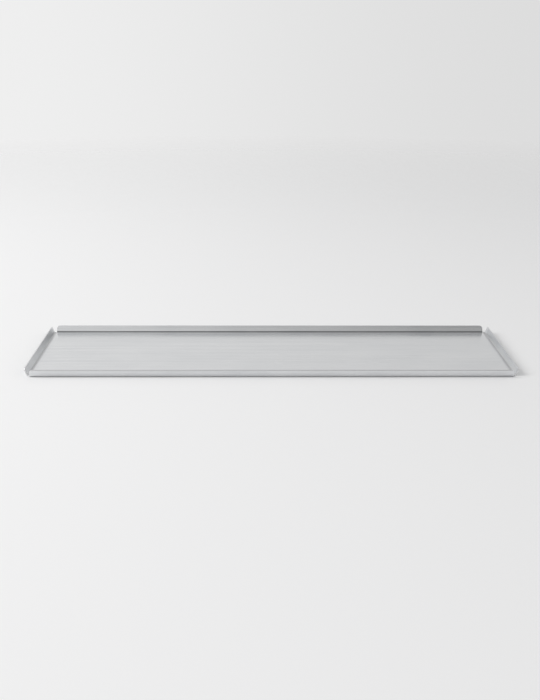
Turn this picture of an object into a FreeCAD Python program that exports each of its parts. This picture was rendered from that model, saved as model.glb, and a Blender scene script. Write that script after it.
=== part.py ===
"""Baguette tray: one aluminium sheet, notched at its corners and folded up along all four sides.

The sheet is held here as the flat panel and the four rims folded up from it. A rim is the bend and
the flaring wall beyond it, and it meets the panel face to face on the line where its bend starts.

Frame: millimetres, X along the tray, +Y to its rear, +Z up, origin under the middle of the panel.
"""

import FreeCAD, Part
import math
import os

import Sketcher

SIZES = {
    "overall_length": 600.0,  # over the end rims
    "overall_width": 200.0,  # over the long rims
    "rim_height": 9.5,  # from the table to a rim's highest edge
    "sheet": 1.5,  # thickness of the aluminium
    "bend_radius": 2.0,  # on the inside of a bend
    "rim_angle": 70.0,  # degrees that a rim is folded up from flat
    "corner_notch": 1.5,  # side of the square cut out of each corner before folding
    "notch_radius": 0.5,  # in the inner corner of that notch
    "long_rim_corner": 4.0,  # rounding of the two free corners of a front or rear rim
    "end_rim_corner": 2.0,  # the same on an end rim
}

ANGLE = "(Sizes.rim_angle * 1 deg)"
WALL_RISE = f"(Sizes.rim_height - Sizes.sheet - Sizes.bend_radius * (1 - cos{ANGLE}))"
RIM_REACH = f"((Sizes.bend_radius + Sizes.sheet) * sin{ANGLE} + {WALL_RISE} / tan{ANGLE})"
PANEL_LENGTH = f"(Sizes.overall_length - 2 * {RIM_REACH})"
PANEL_WIDTH = f"(Sizes.overall_width - 2 * {RIM_REACH})"

FIRST_POINT, LAST_POINT, CENTRE = 1, 2, 3  # how a sketch constraint names a point of a curve
ORIGIN = (-1, 1)  # how it names the sketch's own origin
VERTICAL_AXIS = -2
CLOSE = 0.01  # two lengths that differ by less are the same


def make_sizes(doc):
    """Puts the driving dimensions in a spreadsheet, one named cell each."""
    sizes = doc.addObject("Spreadsheet::Sheet", "Sizes")
    for row, (alias, value) in enumerate(SIZES.items(), start=1):
        sizes.set(f"A{row}", alias)
        sizes.set(f"B{row}", str(value))
        sizes.setAlias(f"B{row}", alias)
    doc.recompute()
    return sizes


def origin_plane(body, role):
    return next(feature for feature in body.Origin.OriginFeatures if feature.Role == role)


def new_body(doc, label):
    body = doc.addObject("PartDesign::Body", label)
    body.Label = label
    return body


def new_sketch(body, name, role):
    """An empty sketch on one of the body's own origin planes."""
    sketch = body.newObject("Sketcher::SketchObject", name)
    sketch.AttachmentSupport = (origin_plane(body, role), [""])
    sketch.MapMode = "FlatFace"
    return sketch


def tie(sketch, name, expression, *constraint):
    """Adds a dimension to a sketch and ties its value to an expression."""
    index = sketch.addConstraint(Sketcher.Constraint(*constraint))
    sketch.renameConstraint(index, name)
    sketch.setExpression(f"Constraints.{name}", expression)


def draw_rectangle(sketch, low, high):
    """Four lines, bottom, right, top and left, from one corner to the opposite one."""
    corners = [low, (high[0], low[1]), high, (low[0], high[1])]
    points = [FreeCAD.Vector(x, y, 0) for x, y in corners]
    for start, end in zip(points, points[1:] + points[:1]):
        sketch.addGeometry(Part.LineSegment(start, end), False)
    for side, direction in enumerate(("Horizontal", "Vertical", "Horizontal", "Vertical")):
        following = (side + 1) % 4
        joint = Sketcher.Constraint("Coincident", side, LAST_POINT, following, FIRST_POINT)
        sketch.addConstraint(joint)
        sketch.addConstraint(Sketcher.Constraint(direction, side))


def draw_panel(sketch, sizes):
    """The panel's outline before notching, centred on the origin."""
    bottom, right, top = 0, 1, 2
    half_length, half_width = sizes.overall_length / 2, sizes.overall_width / 2
    draw_rectangle(sketch, (-half_length, -half_width), (half_length, half_width))
    opposite = ("Symmetric", bottom, FIRST_POINT, top, FIRST_POINT, *ORIGIN)
    sketch.addConstraint(Sketcher.Constraint(*opposite))
    length = ("DistanceX", bottom, FIRST_POINT, bottom, LAST_POINT, sizes.overall_length)
    width = ("DistanceY", right, FIRST_POINT, right, LAST_POINT, sizes.overall_width)
    tie(sketch, "length", PANEL_LENGTH, *length)
    tie(sketch, "width", PANEL_WIDTH, *width)


def draw_notch(sketch, sizes):
    """A square over the panel's +X +Y corner, its outer corner on the corner of the panel."""
    bottom, right, top = 0, 1, 2
    side = sizes.corner_notch
    outer_x, outer_y = sizes.overall_length / 2, sizes.overall_width / 2
    draw_rectangle(sketch, (outer_x - side, outer_y - side), (outer_x, outer_y))
    across = ("DistanceX", bottom, FIRST_POINT, bottom, LAST_POINT, side)
    up = ("DistanceY", right, FIRST_POINT, right, LAST_POINT, side)
    tie(sketch, "across", "Sizes.corner_notch", *across)
    tie(sketch, "up", "Sizes.corner_notch", *up)
    corner_x = ("DistanceX", *ORIGIN, top, FIRST_POINT, outer_x)
    corner_y = ("DistanceY", *ORIGIN, top, FIRST_POINT, outer_y)
    tie(sketch, "corner_x", f"{PANEL_LENGTH} / 2", *corner_x)
    tie(sketch, "corner_y", f"{PANEL_WIDTH} / 2", *corner_y)


def mirrored_to_all_corners(body, cut):
    """Repeats a cut in one corner of the panel in the other three."""
    corners = body.newObject("PartDesign::MultiTransform", "notches")
    lengthwise = body.newObject("PartDesign::Mirrored", "lengthwise")
    lengthwise.MirrorPlane = (origin_plane(body, "YZ_Plane"), [""])
    crosswise = body.newObject("PartDesign::Mirrored", "crosswise")
    crosswise.MirrorPlane = (origin_plane(body, "XZ_Plane"), [""])
    corners.Originals = [cut]
    corners.Transformations = [lengthwise, crosswise]
    body.Tip = corners
    return corners


def inner_notch_edges(shape):
    """Names the upright edges that lie inside the panel's outline, one in each notch."""
    box = shape.BoundBox
    names = []
    for number, edge in enumerate(shape.Edges, start=1):
        middle = edge.CenterOfMass
        upright = edge.BoundBox.ZLength > CLOSE
        off_ends = box.XMax - abs(middle.x) > CLOSE
        off_sides = box.YMax - abs(middle.y) > CLOSE
        if upright and off_ends and off_sides:
            names.append(f"Edge{number}")
    return names


def round_edges(body, base, name, edges, expression):
    """Rounds the named edges of the body's last feature."""
    fillet = body.newObject("PartDesign::Fillet", name)
    fillet.Base = (base, edges)
    fillet.setExpression("Radius", expression)
    body.Tip = fillet


def make_panel(doc, sizes):
    """The flat of the tray, with a square notch in each corner."""
    body = new_body(doc, "base_panel")
    outline = new_sketch(body, "panel_outline", "XY_Plane")
    draw_panel(outline, sizes)
    pad = body.newObject("PartDesign::Pad", "panel")
    pad.Profile = outline
    pad.setExpression("Length", "Sizes.sheet")
    square = new_sketch(body, "notch_outline", "XY_Plane")
    draw_notch(square, sizes)
    cut = body.newObject("PartDesign::Pocket", "notch")
    cut.Profile = square
    cut.Type = "ThroughAll"
    cut.Midplane = True
    doc.recompute()
    notched = mirrored_to_all_corners(body, cut)
    doc.recompute()
    edges = inner_notch_edges(notched.Shape)
    round_edges(body, notched, "notch_corners", edges, "Sizes.notch_radius")
    doc.recompute()
    return body


def draw_rim_section(sketch, sizes):
    """A rim's section, outwards along the sketch's X. Its bend starts at the sketch's origin."""
    angle = math.radians(sizes.rim_angle)
    inner_radius = sizes.bend_radius
    outer_radius = inner_radius + sizes.sheet
    centre = FreeCAD.Vector(0, outer_radius, 0)
    up_wall = FreeCAD.Vector(math.cos(angle), math.sin(angle), 0)
    outwards = FreeCAD.Vector(math.sin(angle), -math.cos(angle), 0)
    inner_foot = centre + outwards * inner_radius
    outer_foot = centre + outwards * outer_radius
    wall = up_wall * ((sizes.rim_height - inner_foot.y) / up_wall.y)
    circles = [Part.Circle(centre, FreeCAD.Vector(0, 0, 1), r) for r in (outer_radius, inner_radius)]
    sweep = (-math.pi / 2, angle - math.pi / 2)
    outer_bend, outer_wall, free_edge, inner_wall, inner_bend, root = range(6)
    curves = [
        Part.ArcOfCircle(circles[0], *sweep),
        Part.LineSegment(outer_foot, outer_foot + wall),
        Part.LineSegment(outer_foot + wall, inner_foot + wall),
        Part.LineSegment(inner_foot + wall, inner_foot),
        Part.ArcOfCircle(circles[1], *sweep),
        Part.LineSegment(FreeCAD.Vector(0, sizes.sheet, 0), FreeCAD.Vector(0, 0, 0)),
    ]
    sketch.addGeometry(curves, False)
    shape = [
        ("Coincident", outer_bend, FIRST_POINT, *ORIGIN),
        ("Coincident", root, LAST_POINT, outer_bend, FIRST_POINT),
        ("Coincident", inner_bend, FIRST_POINT, root, FIRST_POINT),
        ("Vertical", root),
        ("PointOnObject", outer_bend, CENTRE, VERTICAL_AXIS),
        ("Coincident", inner_bend, CENTRE, outer_bend, CENTRE),
        ("Tangent", outer_bend, LAST_POINT, outer_wall, FIRST_POINT),
        ("Tangent", inner_wall, LAST_POINT, inner_bend, LAST_POINT),
        ("Parallel", inner_wall, outer_wall),
        ("Coincident", outer_wall, LAST_POINT, free_edge, FIRST_POINT),
        ("Coincident", free_edge, LAST_POINT, inner_wall, FIRST_POINT),
        ("Perpendicular", free_edge, outer_wall),
    ]
    for constraint in shape:
        sketch.addConstraint(Sketcher.Constraint(*constraint))
    thickness = ("DistanceY", root, LAST_POINT, root, FIRST_POINT, sizes.sheet)
    top = ("DistanceY", *ORIGIN, inner_wall, FIRST_POINT, sizes.rim_height)
    tie(sketch, "thickness", "Sizes.sheet", *thickness)
    tie(sketch, "bend", "Sizes.bend_radius", "Radius", inner_bend, inner_radius)
    tie(sketch, "fold", "Sizes.rim_angle * 1 deg", "Angle", outer_wall, angle)
    tie(sketch, "top", "Sizes.rim_height", *top)


def free_corner_edges(shape, sheet):
    """Names the two edges that cross the sheet's thickness at a rim's highest corners."""
    top = shape.BoundBox.ZMax
    names = []
    for number, edge in enumerate(shape.Edges, start=1):
        crosses_sheet = abs(edge.Length - sheet) < CLOSE
        if crosses_sheet and abs(edge.BoundBox.ZMax - top) < CLOSE:
            names.append(f"Edge{number}")
    return names


def make_rim(doc, sizes, label, side_length, corner, turn, axis, bend_line):
    """A rim of a side of the panel, drawn facing +X and then turned and moved to that side."""
    body = new_body(doc, label)
    section = new_sketch(body, f"{label}_section", "XZ_Plane")
    draw_rim_section(section, sizes)
    pad = body.newObject("PartDesign::Pad", f"{label}_fold")
    pad.Profile = section
    pad.Midplane = True
    pad.setExpression("Length", f"{side_length} - 2 * Sizes.corner_notch")
    doc.recompute()
    edges = free_corner_edges(pad.Shape, sizes.sheet)
    round_edges(body, pad, f"{label}_corners", edges, f"Sizes.{corner}")
    upwards = FreeCAD.Vector(0, 0, 1)
    body.Placement = FreeCAD.Placement(FreeCAD.Vector(), FreeCAD.Rotation(upwards, turn))
    body.setExpression(f"Placement.Base.{axis}", bend_line)
    doc.recompute()
    return body


def check(doc, parts):
    """Stops the build unless every feature worked and every sub-part is one sound solid."""
    for item in doc.Objects:
        if {"Invalid", "Error"} & set(item.State):
            raise RuntimeError(f"{item.Label}: {item.State}")
    for body in parts:
        shape = body.Shape
        if shape.isNull() or not shape.isValid() or len(shape.Solids) != 1:
            raise RuntimeError(f"{body.Label} isn't one valid solid")
        print(f"{body.Label}: {shape.Volume:.0f} mm3, {shape.BoundBox}")


def main():
    doc = FreeCAD.newDocument("baguette_tray")
    sizes = make_sizes(doc)
    end_line, side_line = f"{PANEL_LENGTH} / 2", f"{PANEL_WIDTH} / 2"
    parts = [
        make_panel(doc, sizes),
        make_rim(doc, sizes, "front_rim", PANEL_LENGTH, "long_rim_corner", -90, "y", f"-{side_line}"),
        make_rim(doc, sizes, "rear_rim", PANEL_LENGTH, "long_rim_corner", 90, "y", side_line),
        make_rim(doc, sizes, "left_end_rim", PANEL_WIDTH, "end_rim_corner", 180, "x", f"-{end_line}"),
        make_rim(doc, sizes, "right_end_rim", PANEL_WIDTH, "end_rim_corner", 0, "x", end_line),
    ]
    check(doc, parts)
    os.makedirs("parts", exist_ok=True)
    for body in parts:
        body.Shape.exportStep(f"parts/{body.Label}.step")


main()
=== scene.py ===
"""Looks of the baguette tray: a folded sheet of mill-finish aluminium in soft studio light.

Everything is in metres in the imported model's frame: X along the tray, +Y to its rear, +Z up.
"""

import math

import bmesh
import bpy
from mathutils import Matrix, Vector, noise


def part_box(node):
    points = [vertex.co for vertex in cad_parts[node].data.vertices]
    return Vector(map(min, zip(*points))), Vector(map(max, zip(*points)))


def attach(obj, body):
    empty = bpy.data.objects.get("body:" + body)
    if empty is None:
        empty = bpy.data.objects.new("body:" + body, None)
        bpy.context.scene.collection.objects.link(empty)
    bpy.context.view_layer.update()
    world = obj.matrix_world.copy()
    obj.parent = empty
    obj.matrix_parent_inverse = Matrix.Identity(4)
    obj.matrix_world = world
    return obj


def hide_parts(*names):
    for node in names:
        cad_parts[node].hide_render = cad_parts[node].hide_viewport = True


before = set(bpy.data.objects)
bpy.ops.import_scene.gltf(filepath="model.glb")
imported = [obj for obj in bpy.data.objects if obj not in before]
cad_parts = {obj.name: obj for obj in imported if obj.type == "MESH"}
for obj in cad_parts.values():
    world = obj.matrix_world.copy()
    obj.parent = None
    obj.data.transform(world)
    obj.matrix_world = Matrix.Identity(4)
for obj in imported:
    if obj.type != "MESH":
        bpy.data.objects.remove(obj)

MM = 0.001
UP = Vector((0, 0, 1))

# The folded sheet, as it was designed.
BEND_RADIUS = 2.0 * MM  # on the inside of a bend
FOLD = math.radians(70)  # that a rim is folded up from flat
LONG_RIM_CORNER = 4.0 * MM  # rounding of the two free corners of a front or rear rim
END_RIM_CORNER = 2.0 * MM  # the same on an end rim
NOTCH_RADIUS = 0.5 * MM  # in the inner corner of a corner notch

# What making it and using it did to the sheet.
DEBURR = 0.6 * MM  # rounding of its cut edges
PANEL_LIFT = 0.35 * MM  # the most that the panel lifts off the table between its bends
PANEL_WAVE = 110 * MM  # length of the panel's waves
PANEL_HOLD = 35 * MM  # the waves die out over this distance from a bend
PANEL_SEED = 3.7  # another number gives other waves
RIM_LEAN = 0.20 * MM  # the most that a rim's top strays out of line
RIM_WAVE = 130 * MM  # length of its waves
RIM_SEED = 7  # sets the four rims' waves apart

# Fineness of the meshes.
PANEL_CELL = 9 * MM
RIM_CELL = 6 * MM
BEND_STEPS = 18
BEND_LEAD = 0.04 * MM  # a first narrow row, which keeps the shading level across the bend line
WALL_STEPS = 6
CORNER_STEPS = 9
NOTCH_STEPS = 5
NOTCH_LINE = 2  # the panel's grid line where the notches begin, counted from a side
DEBURR_STEPS = 3

# The metal. A roughness pair is that of its shiniest and of its dullest patches.
METAL_DARK = (0.711, 0.722, 0.736)
METAL_LIGHT = (0.818, 0.826, 0.835)
METAL_ROUGHNESS = (0.17, 0.23)
END_RIM_ROUGHNESS = (0.28, 0.36)  # the short bends stretched the surface and dulled it
STREAK_ROUGHNESS = 0.015  # that the streaks add or take away
SCRATCH_ROUGHNESS = 0.12  # that a scratch adds
ANISOTROPY = 0.45  # of the reflections, across the grain
GRAIN_DEPTH = 0.002 * MM
SCRATCH_DEPTH = 1.5  # in grain depths
MOTTLE_SHARES = (0.35, 0.3, 0.35)  # of fine grain, streaks and smudges in the metal's colour
CUT_DARK = (0.68, 0.685, 0.69)
CUT_LIGHT = (0.80, 0.802, 0.805)
CUT_ROUGHNESS = (0.34, 0.50)
CUT_DEPTH = 0.006 * MM

# The textures, as features per metre: along and across the grain, or along X, Y and Z.
FINE_GRAIN = (25, 4200)
STREAKS = (3.5, 310)
SMUDGES = (13, 21, 21)
# The patches of the painted shade in the bends:
BEND_SHADE_PATCHES = (11, 11, 60)
SCRATCH_PATCHES = (9, 16, 16)
SCRATCHES = ((6, 90, 90), (9, 130, 130))
SCRATCH_TURNS = (math.radians(4), math.radians(-11))  # of each set, from the X axis
SCRATCH_WIDTH = 0.004  # as a part of the noise's range
SCRATCHED = (0.52, 0.62)  # of the patches' noise: none below the first, all above the second
BEND_SHADE_PATCHY = (0.3, 0.6)  # of the painted bend shade's patches' noise: thinnest below the first, full above the second
BEND_SHADE_THINNEST = 0.8
CUT_MARKS = (1900, 1900, 500)
NOISE_SPREAD = (0.3, 0.7)  # where nearly all of a noise's values lie
MOTTLE_SPREAD = (0.4, 0.6)  # the same for the mix of three

# Painted shade in the bends, a darker band in the metal's colour: its foot on the panel, where it is
# full, and where it fades out, all as distances outwards from a bend line, and the share of the
# light that it takes.
BEND_SHADE_SPAN = (-3.6 * MM, -0.3 * MM, 1.3 * MM, 1.9 * MM)
LONG_BEND_SHADE = 0.62
END_BEND_SHADE = 0.32

# The camera.
LENS = 55.74  # millimetres, for the usual 36 mm sensor
CAMERA_PLACE = Vector((-0.01944, -1.33877, 0.41533))
CAMERA_PITCH = math.radians(17.06)
CAMERA_YAW = math.radians(0.765)
CAMERA_ROLL = math.radians(0.224)

# The floor. Painted shade: it turns a little darker from FLOOR_TURN left of the tray to as far right
# of it.
FLOOR_GAP = 0.05 * MM  # below the tray
FLOOR_FADE = 1.1  # it fades into the backdrop's light from this radius to its edge
FLOOR_RADIUS = 2.7
FLOOR_LEFT = (0.93, 0.93, 0.932)
FLOOR_RIGHT = (0.87, 0.87, 0.873)
FLOOR_TURN = 0.7

# The surrounding light that the tray mirrors: that of the backdrop, of the gap overhead, of the
# tent's front and of the room behind the camera, with the turn from the backdrop's foot to each,
# for the left and the right half of the room, and then that of the tent's two sides.
LIGHT_TURNS = [math.radians(turn) for turn in (11, 72, 140, 180)]
LEFT_LIGHT = (0.87, 0.51, 0.85, 0.78)
RIGHT_LIGHT = (0.72, 0.385, 0.43, 0.22)
LEFT_SIDE = 0.45
RIGHT_SIDE = 0.93
HALVES_MEET = 0.3  # sideways part of the direction over which the two halves blend
SIDE_START = 0.4  # the same where a side begins to take over
SIDE_END = 0.7  # and where it has

# The large soft light.
SOFTBOX_PLACE = Vector((-3.4, -0.5, 2.6))
SOFTBOX_SIZE = 2.6
SOFTBOX_POWER = 107  # watts


def spaced(low, high, cell):
    """Evenly spaced numbers from low to high, about one cell apart."""
    count = max(1, round((high - low) / cell))
    return [low + (high - low) * i / count for i in range(count + 1)]


# ------------------------------------------------------------------ meshes


def sheet_mesh(points, cells, bend_line):
    """A closed sheet of metal as a bmesh.

    points gives each key's place on the upper and on the lower face. cells are loops of keys,
    anticlockwise from above. bend_line holds the keys where the next piece carries the sheet on.
    Every other border is a cut edge: its face takes the second material, and the two edges beside
    it get the bevel weight that rounds them.
    """
    mesh = bmesh.new()
    weight = mesh.edges.layers.float.new("bevel_weight_edge")
    upper = {key: mesh.verts.new(places[0]) for key, places in points.items()}
    lower = {key: mesh.verts.new(places[1]) for key, places in points.items()}
    sides = {}
    for loop in cells:
        mesh.faces.new([upper[key] for key in loop])
        mesh.faces.new([lower[key] for key in reversed(loop)])
        sides.update(dict.fromkeys(zip(loop, loop[1:] + loop[:1])))
    for start, end in sides:
        if (end, start) in sides:
            continue
        face = mesh.faces.new((upper[end], upper[start], lower[start], lower[end]))
        borders = [mesh.edges.get((level[start], level[end])) for level in (upper, lower)]
        cut = not {start, end} <= bend_line
        face.material_index = int(cut)
        for edge in borders:
            edge[weight] = float(cut)
            edge.smooth = cut
    for face in mesh.faces:
        face.smooth = True
    bmesh.ops.recalc_face_normals(mesh, faces=mesh.faces)
    return mesh


def finished_piece(mesh, node, materials):
    """The piece that stands for a CAD node, with its cut edges rounded."""
    data = bpy.data.meshes.new(f"{node}_sheet")
    mesh.to_mesh(data)
    mesh.free()
    for material in materials:
        data.materials.append(material)
    piece = bpy.data.objects.new(f"{node}_sheet", data)
    bpy.context.scene.collection.objects.link(piece)
    rounding = piece.modifiers.new("deburr", "BEVEL")
    rounding.limit_method = "WEIGHT"
    rounding.width = DEBURR
    rounding.segments = DEBURR_STEPS
    shading = piece.modifiers.new("shading", "WEIGHTED_NORMAL")
    shading.keep_sharp = True
    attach(piece, "root")
    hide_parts(node)
    return piece


def panel_places(x, y):
    """The panel's upper and lower place at x, y, with its gentle waves, which end at the bends."""
    lo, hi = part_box("base_panel")
    from_bend = min(hi.x - abs(x), hi.y - abs(y))
    hold = min(1.0, max(0.0, from_bend / PANEL_HOLD))
    wave = noise.noise(Vector((x / PANEL_WAVE, y / PANEL_WAVE, PANEL_SEED)))
    lift = PANEL_LIFT * hold * hold * (3 - 2 * hold) * (0.5 + 0.5 * wave)
    return Vector((x, y, hi.z + lift)), Vector((x, y, lo.z + lift))


def notch_corner():
    """How far out in x and y the notches begin, which is where the rims end."""
    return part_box("front_rim")[1].x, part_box("right_end_rim")[1].y


def panel_lines(notch, edge):
    """Where the panel's grid lines lie one way: even between the notches, and two beyond each."""
    outer = [notch + NOTCH_RADIUS, edge]
    return [-place for place in reversed(outer)] + spaced(-notch, notch, PANEL_CELL) + outer


def notch_arc(side_x, side_y):
    """The rounding inside one corner notch, as keys with their x and y, without its two ends."""
    notch_x, notch_y = notch_corner()
    arc = {}
    for turn in spaced(0, math.pi / 2, math.pi / 2 / NOTCH_STEPS)[1:-1]:
        x = side_x * (notch_x + NOTCH_RADIUS * (1 - math.sin(turn)))
        y = side_y * (notch_y + NOTCH_RADIUS * (1 - math.cos(turn)))
        arc["notch", side_x, side_y, turn] = (x, y)
    return arc


def make_panel(materials):
    """The flat of the tray, with a square notch in each corner."""
    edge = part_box("base_panel")[1]
    notch_x, notch_y = notch_corner()
    columns = panel_lines(notch_x, edge.x)
    rows = panel_lines(notch_y, edge.y)
    points, cells, bend_line = {}, [], set()
    for i, x in enumerate(columns):
        for j, y in enumerate(rows):
            in_notch_x = abs(x) > notch_x + NOTCH_RADIUS / 2
            in_notch_y = abs(y) > notch_y + NOTCH_RADIUS / 2
            if in_notch_x and in_notch_y:
                continue
            points[i, j] = panel_places(x, y)
            if abs(x) == edge.x or abs(y) == edge.y:
                bend_line.add((i, j))
    for i in range(len(columns) - 1):
        for j in range(len(rows) - 1):
            loop = [(i, j), (i + 1, j), (i + 1, j + 1), (i, j + 1)]
            if all(key in points for key in loop):
                cells.append(loop)
    for side_x, inner_i in ((-1, NOTCH_LINE), (1, len(columns) - 1 - NOTCH_LINE)):
        for side_y, inner_j in ((-1, NOTCH_LINE), (1, len(rows) - 1 - NOTCH_LINE)):
            arc = notch_arc(side_x, side_y)
            points.update((key, panel_places(x, y)) for key, (x, y) in arc.items())
            fan = [(inner_i + side_x, inner_j), *arc, (inner_i, inner_j + side_y)]
            for start, end in zip(fan, fan[1:]):
                loop = [(inner_i, inner_j), start, end]
                cells.append(loop if side_x == side_y else loop[::-1])
    return finished_piece(sheet_mesh(points, cells, bend_line), "base_panel", materials)


def rim_columns(half_length, corner_radius):
    """How far along a rim each column is, and how far the rounded corner lowers its free edge."""
    straight = half_length - corner_radius
    corner = []
    for turn in spaced(0, math.pi / 2, math.pi / 2 / CORNER_STEPS)[1:]:
        across, drop = corner_radius * math.sin(turn), corner_radius * (1 - math.cos(turn))
        corner.append((straight + across, drop))
    middle = [(place, 0.0) for place in spaced(-straight, straight, RIM_CELL)]
    return [(-place, drop) for place, drop in reversed(corner)] + middle + corner


def rim_rows():
    """The rows up a rim: how far round the bend each is, and its share of the wall's height."""
    turns = [0, BEND_LEAD / BEND_RADIUS] + spaced(0, FOLD, FOLD / BEND_STEPS)[1:]
    up_the_wall = spaced(0, 1, 1 / WALL_STEPS)[1:]
    return [(turn, 0.0) for turn in turns] + [(FOLD, share) for share in up_the_wall]


def make_rim(node, outwards, corner_radius, materials):
    """A bend along one side of the panel and the flared wall beyond it."""
    lo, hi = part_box(node)
    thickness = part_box("base_panel")[1].z
    along = UP.cross(outwards)
    bend_start = min(abs(lo.dot(outwards)), abs(hi.dot(outwards)))
    half_length = abs((hi - lo).dot(along)) / 2
    bend_top = thickness + BEND_RADIUS * (1 - math.cos(FOLD))
    wall = (hi.z - bend_top) / math.sin(FOLD)

    def place(distance, turn, climb, lean, depth):
        radius = BEND_RADIUS + depth
        out = bend_start + radius * math.sin(turn) + climb * math.cos(FOLD) + lean
        height = thickness + BEND_RADIUS - radius * math.cos(turn) + climb * math.sin(FOLD)
        return outwards * out + along * distance + UP * height

    points, cells = {}, []
    columns = rim_columns(half_length, corner_radius)
    rows = rim_rows()
    seed = RIM_SEED * outwards
    for i, (distance, drop) in enumerate(columns):
        stray = noise.noise(Vector((distance / RIM_WAVE, seed.x, seed.y)))
        for j, (turn, share) in enumerate(rows):
            climb = share * (wall - drop)
            lean = RIM_LEAN * stray * climb / wall
            points[i, j] = [place(distance, turn, climb, lean, depth) for depth in (0, thickness)]
    for i in range(len(columns) - 1):
        for j in range(len(rows) - 1):
            cells.append([(i, j), (i, j + 1), (i + 1, j + 1), (i + 1, j)])
    bend_line = {(i, 0) for i in range(len(columns))}
    return finished_piece(sheet_mesh(points, cells, bend_line), node, materials)


# ------------------------------------------------------------------ materials


def add_node(tree, kind, inputs=(), **settings):
    """Adds a node with some settings and some unlinked input values, by name."""
    made = tree.nodes.new(kind)
    for name, value in settings.items():
        setattr(made, name, value)
    for name, value in dict(inputs).items():
        made.inputs[name].default_value = value
    return made


def feed(tree, slot, value):
    """Gives a socket its value: a number directly, or another socket by a link."""
    if isinstance(value, (int, float)):
        slot.default_value = value
    else:
        tree.links.new(value, slot)


def axes_of(tree, vector):
    """The three parts of a vector, by the names X, Y and Z."""
    parts = add_node(tree, "ShaderNodeSeparateXYZ")
    tree.links.new(vector, parts.inputs["Vector"])
    return parts.outputs


def stretched_noise(tree, place, scale, detail):
    """Noise whose features have the size 1 / scale along each axis, as a 0 to 1 socket."""
    mapping = add_node(tree, "ShaderNodeMapping", {"Scale": scale})
    texture = add_node(tree, "ShaderNodeTexNoise", {"Scale": 1.0, "Detail": detail})
    tree.links.new(place, mapping.inputs["Vector"])
    tree.links.new(mapping.outputs["Vector"], texture.inputs["Vector"])
    return texture.outputs["Fac"]


def remap(tree, value, low, high, to_low, to_high, easing="LINEAR"):
    """A value between low and high, carried to the range to_low to to_high and kept in it."""
    limits = {"From Min": low, "From Max": high, "To Min": to_low, "To Max": to_high}
    mapped = add_node(tree, "ShaderNodeMapRange", limits, interpolation_type=easing)
    tree.links.new(value, mapped.inputs["Value"])
    return mapped.outputs["Result"]


def combine(tree, operation, first, second):
    """One math operation on two sockets, or on a socket and a number."""
    made = add_node(tree, "ShaderNodeMath", operation=operation)
    feed(tree, made.inputs[0], first)
    feed(tree, made.inputs[1], second)
    return made.outputs["Value"]


def new_material(name, inputs):
    """A material with one Principled shader, and its object-space coordinates."""
    material = bpy.data.materials.new(name)
    material.use_nodes = True
    tree = material.node_tree
    tree.nodes.clear()
    output = add_node(tree, "ShaderNodeOutputMaterial")
    shader = add_node(tree, "ShaderNodeBsdfPrincipled", inputs)
    tree.links.new(shader.outputs["BSDF"], output.inputs["Surface"])
    place = add_node(tree, "ShaderNodeTexCoord").outputs["Object"]
    return material, tree, shader, place


def tint(tree, shade, dark, light):
    """A colour between two others, by a 0 to 1 socket."""
    ramp = add_node(tree, "ShaderNodeValToRGB")
    ramp.color_ramp.elements[0].color = (*dark, 1)
    ramp.color_ramp.elements[1].color = (*light, 1)
    tree.links.new(shade, ramp.inputs["Fac"])
    return ramp.outputs["Color"]


def add_bump(tree, shader, height, depth):
    """Raises the surface by up to depth where the 0 to 1 height socket is high."""
    bump = add_node(tree, "ShaderNodeBump", {"Strength": 1.0, "Distance": depth})
    tree.links.new(height, bump.inputs["Height"])
    tree.links.new(bump.outputs["Normal"], shader.inputs["Normal"])


def scratches(tree, place, scale, turn):
    """Long thin scratches as a 0 to 1 socket: contour lines of a stretched noise."""
    turned = add_node(tree, "ShaderNodeMapping", {"Rotation": (0, 0, turn)})
    tree.links.new(place, turned.inputs["Vector"])
    field = stretched_noise(tree, turned.outputs["Vector"], scale, 1.0)
    off_line = combine(tree, "ABSOLUTE", combine(tree, "SUBTRACT", field, 0.5), 0.0)
    line = remap(tree, off_line, 0.0, SCRATCH_WIDTH, 1.0, 0.0)
    patches = stretched_noise(tree, place, SCRATCH_PATCHES, 2.0)
    return combine(tree, "MULTIPLY", line, remap(tree, patches, *SCRATCHED, 0.0, 1.0))


def painted_shade_line(tree, along_axis, bend, depth):
    """A line of painted shade along the bends at plus and minus bend on one axis, as a 0 to depth
    socket.
    """
    from_middle = combine(tree, "ABSOLUTE", along_axis, 0.0)
    beyond = combine(tree, "SUBTRACT", from_middle, bend)
    foot, full, fading, end = BEND_SHADE_SPAN
    into = remap(tree, beyond, foot, full, 0.0, depth, "SMOOTHSTEP")
    out_of = remap(tree, beyond, fading, end, 1.0, 0.0, "SMOOTHSTEP")
    return combine(tree, "MULTIPLY", into, out_of)


def painted_bend_shade(tree, place):
    """How much of its brightness the metal keeps under the painted shade along the bends."""
    position = axes_of(tree, place)
    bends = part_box("base_panel")[1]
    at_ends = painted_shade_line(tree, position["X"], bends.x, END_BEND_SHADE)
    at_long_sides = painted_shade_line(tree, position["Y"], bends.y, LONG_BEND_SHADE)
    facing = axes_of(tree, add_node(tree, "ShaderNodeTexCoord").outputs["Normal"])
    inside = remap(tree, facing["Z"], 0.0, 0.1, 0.0, 1.0)
    patches = stretched_noise(tree, place, BEND_SHADE_PATCHES, 3.0)
    darkening = combine(tree, "MULTIPLY", inside, combine(tree, "MAXIMUM", at_ends, at_long_sides))
    share = remap(tree, patches, *BEND_SHADE_PATCHY, BEND_SHADE_THINNEST, 1.0)
    return combine(tree, "SUBTRACT", 1.0, combine(tree, "MULTIPLY", darkening, share))


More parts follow.
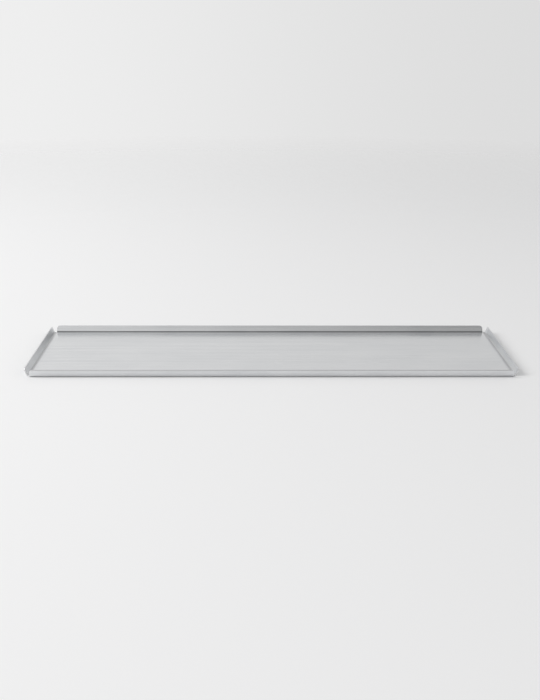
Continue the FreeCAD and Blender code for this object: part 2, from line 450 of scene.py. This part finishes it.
def metal_colour(tree, place, textures):
    """The metal's colour, mottled by textures and darkened with painted shade in the bends."""
    shade = 0.0
    for texture, share in zip(textures, MOTTLE_SHARES):
        shade = combine(tree, "ADD", combine(tree, "MULTIPLY", texture, share), shade)
    shade = remap(tree, shade, *MOTTLE_SPREAD, 0.0, 1.0)
    colour = tint(tree, shade, METAL_DARK, METAL_LIGHT)
    # painted shade: the colour is scaled down along the bends
    shaded_colour = add_node(tree, "ShaderNodeVectorMath", operation="SCALE")
    tree.links.new(colour, shaded_colour.inputs[0])
    tree.links.new(painted_bend_shade(tree, place), shaded_colour.inputs["Scale"])
    return shaded_colour.outputs["Vector"]


def metal_roughness(tree, roughness, smudges, streaks, worn):
    """The metal's roughness: the smudges set it, and streaks and scratches change it."""
    rough = remap(tree, smudges, *NOISE_SPREAD, *roughness)
    streaked = remap(tree, streaks, *NOISE_SPREAD, -STREAK_ROUGHNESS, STREAK_ROUGHNESS)
    rough = combine(tree, "ADD", rough, streaked)
    return combine(tree, "ADD", rough, combine(tree, "MULTIPLY", worn, SCRATCH_ROUGHNESS))


def make_sheet_metal(name, grain_axes, roughness):
    """Mill-finish aluminium. grain_axes are the axes that its rolling grain runs along."""
    metal = {"Metallic": 1.0, "Anisotropic": ANISOTROPY}
    material, tree, shader, place = new_material(name, metal)

    def grain(scales, detail):
        scale = [scales[0] if axis in grain_axes else scales[1] for axis in "XYZ"]
        return stretched_noise(tree, place, scale, detail)

    fine = grain(FINE_GRAIN, 2.0)
    streaks = grain(STREAKS, 3.0)
    smudges = stretched_noise(tree, place, SMUDGES, 4.0)
    sets = [scratches(tree, place, *each) for each in zip(SCRATCHES, SCRATCH_TURNS)]
    worn = combine(tree, "MAXIMUM", *sets)

    colour = metal_colour(tree, place, (fine, streaks, smudges))
    tree.links.new(colour, shader.inputs["Base Color"])
    rough = metal_roughness(tree, roughness, smudges, streaks, worn)
    tree.links.new(rough, shader.inputs["Roughness"])
    cuts = combine(tree, "MULTIPLY", worn, SCRATCH_DEPTH)
    add_bump(tree, shader, combine(tree, "SUBTRACT", fine, cuts), GRAIN_DEPTH)
    across = add_node(tree, "ShaderNodeCombineXYZ", {"X": 0.0, "Y": 1.0, "Z": 0.0})
    tree.links.new(across.outputs["Vector"], shader.inputs["Tangent"])
    return material


def make_cut_edge():
    """The sheared and deburred edge of the sheet: duller, with fine marks across it."""
    material, tree, shader, place = new_material("cut_edge", {"Metallic": 1.0})
    marks = stretched_noise(tree, place, CUT_MARKS, 2.0)
    shade = remap(tree, marks, *NOISE_SPREAD, 0.0, 1.0)
    tree.links.new(tint(tree, shade, CUT_DARK, CUT_LIGHT), shader.inputs["Base Color"])
    rough = remap(tree, marks, *NOISE_SPREAD, *CUT_ROUGHNESS)
    tree.links.new(rough, shader.inputs["Roughness"])
    add_bump(tree, shader, marks, CUT_DEPTH)
    return material


def make_floor_paint():
    """Matt and pale, with painted shade that turns it a little darker to the right, and clear at the
    floor's edge.
    """
    matt = {"Roughness": 0.9, "Specular IOR Level": 0.1}
    material, tree, shader, place = new_material("floor", matt)
    to_the_right = axes_of(tree, place)["X"]
    # painted shade: the floor's colour darkens towards the right
    shade = remap(tree, to_the_right, -FLOOR_TURN, FLOOR_TURN, 0.0, 1.0, "SMOOTHSTEP")
    tree.links.new(tint(tree, shade, FLOOR_LEFT, FLOOR_RIGHT), shader.inputs["Base Color"])
    radius = add_node(tree, "ShaderNodeVectorMath", operation="LENGTH")
    tree.links.new(place, radius.inputs[0])
    cover = remap(tree, radius.outputs["Value"], FLOOR_FADE, FLOOR_RADIUS, 1.0, 0.0)
    tree.links.new(cover, shader.inputs["Alpha"])
    return material


# ------------------------------------------------------------------ the room


def make_floor():
    """A plain pale floor that fades out before it ends, so that no horizon shows."""
    mesh = bmesh.new()
    bmesh.ops.create_circle(mesh, cap_ends=True, segments=96, radius=FLOOR_RADIUS)
    data = bpy.data.meshes.new("floor")
    mesh.to_mesh(data)
    mesh.free()
    data.materials.append(make_floor_paint())
    floor = bpy.data.objects.new("floor", data)
    floor.location.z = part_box("base_panel")[0].z - FLOOR_GAP
    bpy.context.scene.collection.objects.link(floor)


def blend(tree, share, first, second):
    """A mix of two light levels, each a socket or a number, by a 0 to 1 socket."""
    made = add_node(tree, "ShaderNodeMix", data_type="FLOAT")  # 2 and 3 are its float A and B
    feed(tree, made.inputs[0], share)
    feed(tree, made.inputs[2], first)
    feed(tree, made.inputs[3], second)
    return made.outputs[0]


def over_the_top(tree, swing, levels):
    """The light from the backdrop over the top to the room behind the camera."""
    ramp = add_node(tree, "ShaderNodeValToRGB")
    ramp.color_ramp.interpolation = "EASE"
    stops = ramp.color_ramp.elements
    for _ in levels[2:]:  # a new ramp has two stops already
        stops.new(1.0)
    for number, (turn, level) in enumerate(zip(LIGHT_TURNS, levels)):
        stops[number].position = turn / math.pi
        stops[number].color = (level, level, level, 1)
    tree.links.new(swing, ramp.inputs["Fac"])
    return ramp.outputs["Color"]


def light_level(tree, direction):
    """How bright the surroundings are in a direction, as a socket."""
    sideways = direction["X"]
    above_floor = combine(tree, "MAXIMUM", direction["Z"], 0.0)
    turn = combine(tree, "ARCTAN2", above_floor, direction["Y"])
    swing = combine(tree, "DIVIDE", turn, math.pi)
    rightwards = remap(tree, sideways, -HALVES_MEET, HALVES_MEET, 0.0, 1.0, "SMOOTHSTEP")
    far_left = remap(tree, sideways, -SIDE_END, -SIDE_START, 1.0, 0.0, "SMOOTHSTEP")
    far_right = remap(tree, sideways, SIDE_START, SIDE_END, 0.0, 1.0, "SMOOTHSTEP")
    left = over_the_top(tree, swing, LEFT_LIGHT)
    right = over_the_top(tree, swing, RIGHT_LIGHT)
    level = blend(tree, rightwards, left, right)
    level = blend(tree, far_left, level, LEFT_SIDE)
    return blend(tree, far_right, level, RIGHT_SIDE)


def make_surroundings():
    """Soft light from all round, like that of a light tent, which the tray mirrors."""
    world = bpy.data.worlds.new("studio")
    bpy.context.scene.world = world
    world.use_nodes = True
    tree = world.node_tree
    tree.nodes.clear()
    output = add_node(tree, "ShaderNodeOutputWorld")
    light = add_node(tree, "ShaderNodeBackground", {"Color": (1, 1, 1, 1)})
    direction = axes_of(tree, add_node(tree, "ShaderNodeTexCoord").outputs["Generated"])
    tree.links.new(light_level(tree, direction), light.inputs["Strength"])
    tree.links.new(light.outputs["Background"], output.inputs["Surface"])


def make_softbox():
    """The large soft light to the left, which throws the shadow to the tray's right."""
    lamp = bpy.data.lights.new("softbox", "AREA")
    lamp.shape = "SQUARE"
    lamp.size = SOFTBOX_SIZE
    lamp.energy = SOFTBOX_POWER
    softbox = bpy.data.objects.new("softbox", lamp)
    softbox.location = SOFTBOX_PLACE
    softbox.rotation_euler = SOFTBOX_PLACE.to_track_quat("Z", "Y").to_euler()
    bpy.context.scene.collection.objects.link(softbox)


def make_camera():
    """The camera at the photographer's place, looking a little down and a little to the right."""
    lens = bpy.data.cameras.new("camera")
    lens.lens = LENS
    camera = bpy.data.objects.new("camera", lens)
    yaw = Matrix.Rotation(-CAMERA_YAW, 4, "Z")
    pitch = Matrix.Rotation(math.pi / 2 - CAMERA_PITCH, 4, "X")
    roll = Matrix.Rotation(CAMERA_ROLL, 4, "Z")
    camera.matrix_world = Matrix.Translation(CAMERA_PLACE) @ yaw @ pitch @ roll
    bpy.context.scene.collection.objects.link(camera)
    bpy.context.scene.camera = camera


def main():
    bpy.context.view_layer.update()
    bpy.context.scene.view_settings.view_transform = "Standard"
    make_camera()
    make_surroundings()
    make_softbox()
    make_floor()
    cut_edge = make_cut_edge()
    lengthwise = [make_sheet_metal("sheet_metal", "X", METAL_ROUGHNESS), cut_edge]
    up_the_end = [make_sheet_metal("sheet_metal_ends", "XZ", END_RIM_ROUGHNESS), cut_edge]
    make_panel(lengthwise)
    make_rim("front_rim", Vector((0, -1, 0)), LONG_RIM_CORNER, lengthwise)
    make_rim("rear_rim", Vector((0, 1, 0)), LONG_RIM_CORNER, lengthwise)
    make_rim("left_end_rim", Vector((-1, 0, 0)), END_RIM_CORNER, up_the_end)
    make_rim("right_end_rim", Vector((1, 0, 0)), END_RIM_CORNER, up_the_end)


main()
